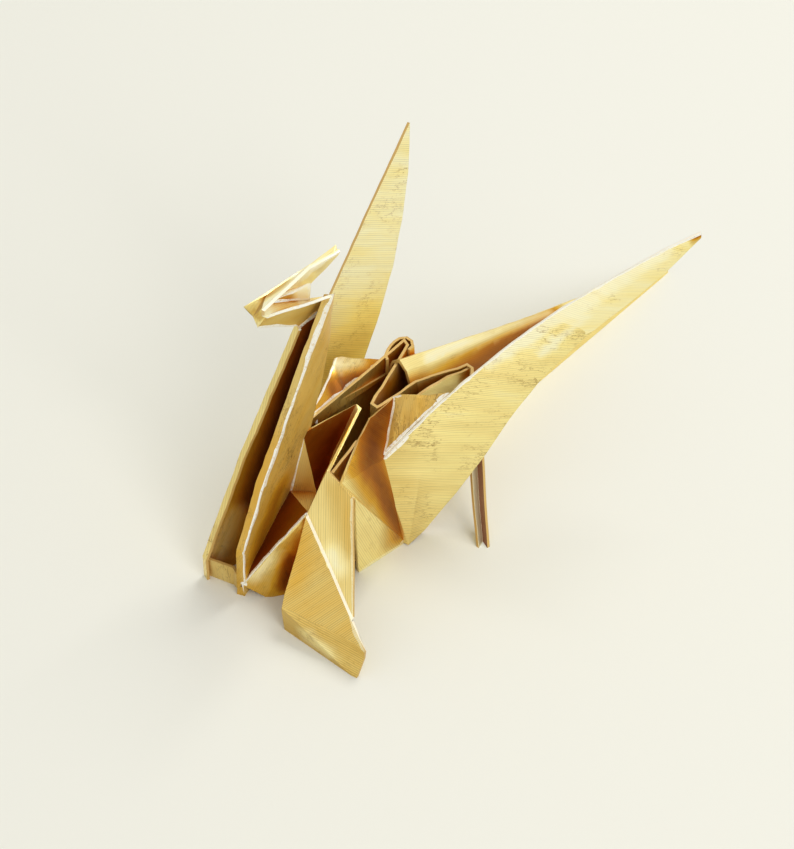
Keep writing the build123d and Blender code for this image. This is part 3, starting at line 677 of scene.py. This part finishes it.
    # Painted shade: deep in the folds and hollows the colour is darkened to amber and then deep orange, as
    # closely as the sheet's own sides close in and as much as the panel's recess allows.
    recess = add_node(tree, "ShaderNodeAmbientOcclusion", {
        "samples": 8, "only_local": True, "Distance": HOLLOW,
    })
    shade = add_node(tree, "ShaderNodeValToRGB", links={"Fac": recess.outputs["AO"]})
    shade.color_ramp.elements[0].color = linear(finish.deep_fold)
    shade.color_ramp.elements[1].color = linear(WHITE)
    shade.color_ramp.elements[1].position = 0.75
    shade.color_ramp.elements.new(0.35).color = linear(finish.fold_amber)
    fold_shade = add_node(tree, "ShaderNodeMix", {"data_type": "RGBA", "blend_type": "MULTIPLY"},
                         {"Factor": panel_recess, 6: stained.outputs[2], 7: shade.outputs["Color"]})

    # Cut edges: handled paper, or the white of the core, which on the lit edges is also a painted highlight.
    edge_tone = add_node(tree, "ShaderNodeValToRGB", links={"Fac": rim})
    edge_tone.color_ramp.elements[0].position = 0.5
    edge_tone.color_ramp.elements[0].color = linear(finish.handled_edge)
    edge_tone.color_ramp.elements[1].color = linear(finish.paper_core)
    is_rim = add_node(tree, "ShaderNodeMath", {"operation": "GREATER_THAN", 1: 0.25}, {0: rim})
    core = add_node(tree, "ShaderNodeMix", {"data_type": "RGBA"},
                    {"Factor": is_rim.outputs[0], 6: fold_shade.outputs[2], 7: edge_tone.outputs["Color"]})

    # Painted highlights: pale strips along the folds, and pale places where the tone calls for a painted
    # highlight.
    rough_shine = add_node(tree, "ShaderNodeMapRange", {"From Min": 0.34, "From Max": 0.46, "To Min": 0.45},
                           {"Value": specks.outputs["Fac"]})
    fold_light = add_node(tree, "ShaderNodeMath", {"operation": "MULTIPLY"},
                          {0: shine, 1: rough_shine.outputs[0]})
    glint = add_node(tree, "ShaderNodeValToRGB", links={"Fac": shine})
    glint.color_ramp.elements[0].position = 0.45
    glint.color_ramp.elements[0].color = linear(finish.pale_gold)
    glint.color_ramp.elements[1].position = 0.85
    glint.color_ramp.elements[1].color = linear(finish.fold_shine)
    edged = add_node(tree, "ShaderNodeMix", {"data_type": "RGBA"},
                     {"Factor": fold_light.outputs[0], 6: core.outputs[2], 7: glint.outputs["Color"]})
    streaky = add_node(tree, "ShaderNodeMapRange", {"From Min": 0.4, "From Max": 0.56, "To Min": 0.25},
                       {"Value": streaks.outputs["Fac"]})
    gleam = add_node(tree, "ShaderNodeMath", {"operation": "MULTIPLY"},
                     {0: panel_gleam, 1: streaky.outputs[0]})
    lit = add_node(tree, "ShaderNodeMix", {"data_type": "RGBA", 7: linear(finish.gleam)},
                   {"Factor": gleam.outputs[0], 6: edged.outputs[2]})

    # Folds turn over a small radius, the lines are pressed in, and the foil is dented by handling.
    turn = add_node(tree, "ShaderNodeBevel", {"samples": 4, "Radius": FOLD_RADIUS})
    height = add_node(tree, "ShaderNodeBump", {"Strength": 0.4, "Distance": -LINE_DEPTH},
                      {"Height": strength.outputs[0], "Normal": turn.outputs[0]})
    dents = add_node(tree, "ShaderNodeTexNoise", {
        "Scale": DENTS_PER_MM / MM, "Detail": 4.0, "Roughness": 0.6,
    }, {"Vector": coords.outputs["Object"]})
    dented = add_node(tree, "ShaderNodeBump", {"Strength": 0.5, "Distance": DENT_DEPTH},
                      {"Height": dents.outputs["Fac"], "Normal": height.outputs[0]})

    # The foil is satin. It is least like metal at its cut edges, where highlights are painted and where it is
    # handled.
    satin = add_node(tree, "ShaderNodeMapRange", {"To Min": 0.28, "To Max": 0.44},
                     {"Value": patches.outputs["Fac"]})
    handled = add_node(tree, "ShaderNodeMapRange", {"From Min": 0.6, "From Max": 1.0, "To Max": 0.6},
                       {"Value": stain})
    matt = add_node(tree, "ShaderNodeMath", {"operation": "MAXIMUM"},
                    {0: handled.outputs[0], 1: painted.outputs["Alpha"]})
    light = add_node(tree, "ShaderNodeMath", {"operation": "MAXIMUM"},
                     {0: fold_light.outputs[0], 1: gleam.outputs[0]})
    paper = add_node(tree, "ShaderNodeMath", {"operation": "MAXIMUM"},
                     {0: is_rim.outputs[0], 1: light.outputs[0]})
    unmetal = add_node(tree, "ShaderNodeMath", {"operation": "MAXIMUM"},
                       {0: paper.outputs[0], 1: matt.outputs[0]})
    metal = add_node(tree, "ShaderNodeMapRange", {"To Min": 0.75, "To Max": 0.1},
                     {"Value": unmetal.outputs[0]})
    shader = add_node(tree, "ShaderNodeBsdfPrincipled", links={
        "Base Color": lit.outputs[2],
        "Metallic": metal.outputs[0],
        "Roughness": satin.outputs[0],
        "Normal": dented.outputs[0],
    })
    add_node(tree, "ShaderNodeOutputMaterial", links={"Surface": shader.outputs[0]})
    return material


def pale_table(stage):
    """A matt painted table top: an even, pale, slightly warm ground that takes soft shadows."""
    material = bpy.data.materials.new("matt_painted_table")
    material.use_nodes = True
    tree = material.node_tree
    tree.nodes.clear()
    shader = add_node(tree, "ShaderNodeBsdfPrincipled", {
        "Base Color": linear(stage.table_colour), "Roughness": 0.75, "Specular IOR Level": 0.2,
    })
    add_node(tree, "ShaderNodeOutputMaterial", links={"Surface": shader.outputs[0]})
    return material


class CraneSheetSizes(bpy.types.PropertyGroup):
    """Sizes of the visible sheet's fine form."""

    paper: bpy.props.FloatProperty(
        name="Paper", description="Thickness of the pressed layers", default=0.25 * MM, unit="LENGTH",
        precision=5)
    cell: bpy.props.FloatProperty(
        name="Cell", description="Size of the cells that let a panel bend", default=0.8 * MM, unit="LENGTH",
        precision=5)
    wave: bpy.props.FloatProperty(
        name="Wave", description="How far the panels wave out of flat", default=0.09 * MM, unit="LENGTH",
        precision=5)
    fold_angle: bpy.props.FloatProperty(
        name="Fold angle", description="Bends sharper than this many degrees stay crisp", default=24.0)
    ease: bpy.props.IntProperty(name="Easing", description="How often the soft bends are rounded", default=8)


class CraneFinish(bpy.types.PropertyGroup):
    """Colours and scales of the gold foil paper."""

    line_spacing: bpy.props.FloatProperty(
        name="Line spacing", description="From one rolled line to the next", default=0.17 * MM, unit="LENGTH",
        precision=5)
    pale_gold: bpy.props.StringProperty(
        name="Pale gold", description="The foil where it is clean", default="#fff8cc")
    light_gold: bpy.props.StringProperty(
        name="Light gold", description="Most of the foil", default="#ffeda0")
    gold: bpy.props.StringProperty(
        name="Gold", description="The foil where it has been handled", default="#dfc06c")
    deep_gold: bpy.props.StringProperty(
        name="Deep gold", description="The foil where it has aged", default="#dca62c")
    # Amber and brown also colour the painted shade marks and the dark panels in hollows.
    amber: bpy.props.StringProperty(
        name="Amber", description="The foil where it has darkened", default="#b06a0c")
    brown: bpy.props.StringProperty(
        name="Brown", description="The foil where it is darkest", default="#6e3606")
    patina: bpy.props.StringProperty(
        name="Patina", description="Rubbed and tarnished marks", default="#8c6424")
    # Fold amber and deep fold are the colours of the painted shade in the folds.
    fold_amber: bpy.props.StringProperty(
        name="Fold amber", description="How the foil deepens half way into a fold", default="#e8b03a")
    deep_fold: bpy.props.StringProperty(
        name="Deep fold", description="How dark the foil is deep in a fold", default="#cc8026")
    handled_edge: bpy.props.StringProperty(
        name="Handled edge", description="A cut edge dulled by handling", default="#d2ab60")
    paper_core: bpy.props.StringProperty(
        name="Paper core", description="The paper at a cut edge", default="#fdf4dc")
    # These two are the colours of painted highlights, along the folds and at the marked places.
    fold_shine: bpy.props.StringProperty(
        name="Fold shine", description="The burnished turn of a fold", default="#fffdf0")
    gleam: bpy.props.StringProperty(name="Gleam", description="Where the foil gleams", default="#fff4c8")


class CraneStage(bpy.types.PropertyGroup):
    """The table, the lamps and the view."""

    table_size: bpy.props.FloatProperty(
        name="Table", description="Side of the table top", default=1.6, unit="LENGTH")
    table_colour: bpy.props.StringProperty(
        name="Table colour", description="The table's paint", default="#efeee3")
    lamp_colour: bpy.props.StringProperty(
        name="Lamp colour", description="The light of the three lamps", default="#fffefb")
    sky: bpy.props.FloatProperty(name="Room light", description="Strength of the even light", default=0.52)
    room_white: bpy.props.FloatProperty(
        name="Room white", description="How bright the room looks in the foil", default=0.95)
    window: bpy.props.FloatProperty(
        name="Window light", description="Power of the lamp at the near side, in watts", default=0.9)
    ceiling: bpy.props.FloatProperty(
        name="Ceiling light", description="Power of the lamp overhead, in watts", default=1.02)
    front: bpy.props.FloatProperty(
        name="Front light", description="Power of the lamp before the neck, in watts", default=0.12)


class CRANE_OT_folded_sheet(bpy.types.Operator):
    """Make the visible sheet from the CAD sheet and give it its foil"""

    bl_idname = "crane.folded_sheet"
    bl_label = "Folded sheet"

    def execute(self, context):
        sizes = context.scene.crane_sheet
        sheet = merged_copy(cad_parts[SHEET])
        mark_folds(sheet, sizes.fold_angle)
        label_panels(sheet)
        mark_rims(sheet, sizes.paper)
        mark_fold_highlights(sheet)
        slice_evenly(sheet, sizes.cell)
        ease_bends(sheet, sizes.ease)
        press_creases(sheet)
        wave_sheet(sheet, sizes.wave)
        bmesh.ops.triangulate(sheet, faces=sheet.faces)
        mesh = bpy.data.meshes.new(PIECE)
        sheet.to_mesh(mesh)
        sheet.free()
        paint_sheet(mesh)
        mesh.materials.append(gold_foil_paper(context.scene.crane_finish))
        piece = bpy.data.objects.new(PIECE, mesh)
        context.scene.collection.objects.link(piece)
        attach(piece, "root")
        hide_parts(SHEET)
        return {"FINISHED"}


class CRANE_OT_stage(bpy.types.Operator):
    """Set the crane on a pale table under soft light, seen as in the photograph"""

    bl_idname = "crane.stage"
    bl_label = "Stage"

    def execute(self, context):
        scene = context.scene
        stage = scene.crane_stage
        half = stage.table_size / 2
        top = bmesh.new()
        bmesh.ops.create_grid(top, x_segments=1, y_segments=1, size=half)
        mesh = bpy.data.meshes.new("table_top")
        top.to_mesh(mesh)
        top.free()
        mesh.materials.append(pale_table(stage))
        table = bpy.data.objects.new("table_top", mesh)
        scene.collection.objects.link(table)

        world = bpy.data.worlds.new("even_room")
        scene.world = world
        world.use_nodes = True
        tree = world.node_tree
        tree.nodes.clear()
        ray = add_node(tree, "ShaderNodeLightPath")
        seen = add_node(tree, "ShaderNodeMath", {"operation": "MAXIMUM"},
                        {0: ray.outputs["Is Camera Ray"], 1: ray.outputs["Is Glossy Ray"]})
        direct = add_node(tree, "ShaderNodeMath", {"operation": "LESS_THAN", 1: 0.5},
                          {0: ray.outputs["Diffuse Depth"]})
        looked_at = add_node(tree, "ShaderNodeMath", {"operation": "MULTIPLY"},
                             {0: seen.outputs[0], 1: direct.outputs[0]})
        # The room gives even light, and shows white to the eye and in the foil.
        room = add_node(tree, "ShaderNodeMapRange", {"To Min": stage.sky, "To Max": stage.room_white},
                        {"Value": looked_at.outputs[0]})
        walls = add_node(tree, "ShaderNodeBackground", {"Color": linear(WHITE)},
                         {"Strength": room.outputs[0]})
        add_node(tree, "ShaderNodeOutputWorld", links={"Surface": walls.outputs[0]})

        centre = AIM_MM * MM
        # Each lamp's place and side are in metres, and it points at the crane.
        lamps = (
            ("window", (0.42, -0.10, 0.32), 0.26, stage.window),
            ("ceiling", (-0.04, 0.26, 0.44), 0.20, stage.ceiling),
            ("front", (-0.16, -0.46, 0.24), 0.50, stage.front),
        )
        for name, place, side, power in lamps:
            light = bpy.data.lights.new(name, "AREA")
            light.shape = "SQUARE"
            light.size = side
            light.energy = power
            light.color = linear(stage.lamp_colour)[:3]
            lamp = bpy.data.objects.new(name, light)
            lamp.location = place
            lamp.rotation_mode = "QUATERNION"
            lamp.rotation_quaternion = (centre - Vector(place)).to_track_quat("-Z", "Y")
            scene.collection.objects.link(lamp)

        view = bpy.data.cameras.new("photo_view")
        view.sensor_width = SENSOR_MM
        view.lens = PHOTO_FOCAL * SENSOR_MM / PHOTO_LONG_SIDE
        view.clip_start = 0.005
        view.clip_end = 10
        camera = bpy.data.objects.new("photo_view", view)
        camera.location = (AIM_MM + VIEW_BACK * VIEW_DISTANCE_MM) * MM
        camera.rotation_mode = "QUATERNION"
        camera.rotation_quaternion = (-VIEW_BACK).to_track_quat("-Z", "Y")
        scene.collection.objects.link(camera)
        scene.camera = camera
        scene.view_settings.view_transform = "Standard"
        return {"FINISHED"}


class CRANE_PT_panel(bpy.types.Panel):
    """The crane's sizes and finish, and the steps that make it"""

    bl_idname = "CRANE_PT_panel"
    bl_label = "Folded foil crane"
    bl_space_type = "VIEW_3D"
    bl_region_type = "UI"
    bl_category = "Crane"

    def draw(self, context):
        for group in (context.scene.crane_sheet, context.scene.crane_finish, context.scene.crane_stage):
            column = self.layout.column(align=True)
            for name in group.__annotations__:
                column.prop(group, name)
        for operator in (CRANE_OT_folded_sheet, CRANE_OT_stage):
            self.layout.operator(operator.bl_idname)


CLASSES = (CraneSheetSizes, CraneFinish, CraneStage, CRANE_OT_folded_sheet, CRANE_OT_stage, CRANE_PT_panel)


def register():
    """Adds the classes and their settings to Blender."""
    for one in CLASSES:
        bpy.utils.register_class(one)
    bpy.types.Scene.crane_sheet = bpy.props.PointerProperty(type=CraneSheetSizes)
    bpy.types.Scene.crane_finish = bpy.props.PointerProperty(type=CraneFinish)
    bpy.types.Scene.crane_stage = bpy.props.PointerProperty(type=CraneStage)


def unregister():
    """Takes the classes and their settings out again."""
    del bpy.types.Scene.crane_sheet
    del bpy.types.Scene.crane_finish
    del bpy.types.Scene.crane_stage
    for one in reversed(CLASSES):
        bpy.utils.unregister_class(one)


def main():
    """Makes the crane and its stage."""
    register()
    bpy.ops.crane.folded_sheet()
    bpy.ops.crane.stage()


if __name__ == "__main__":
    main()
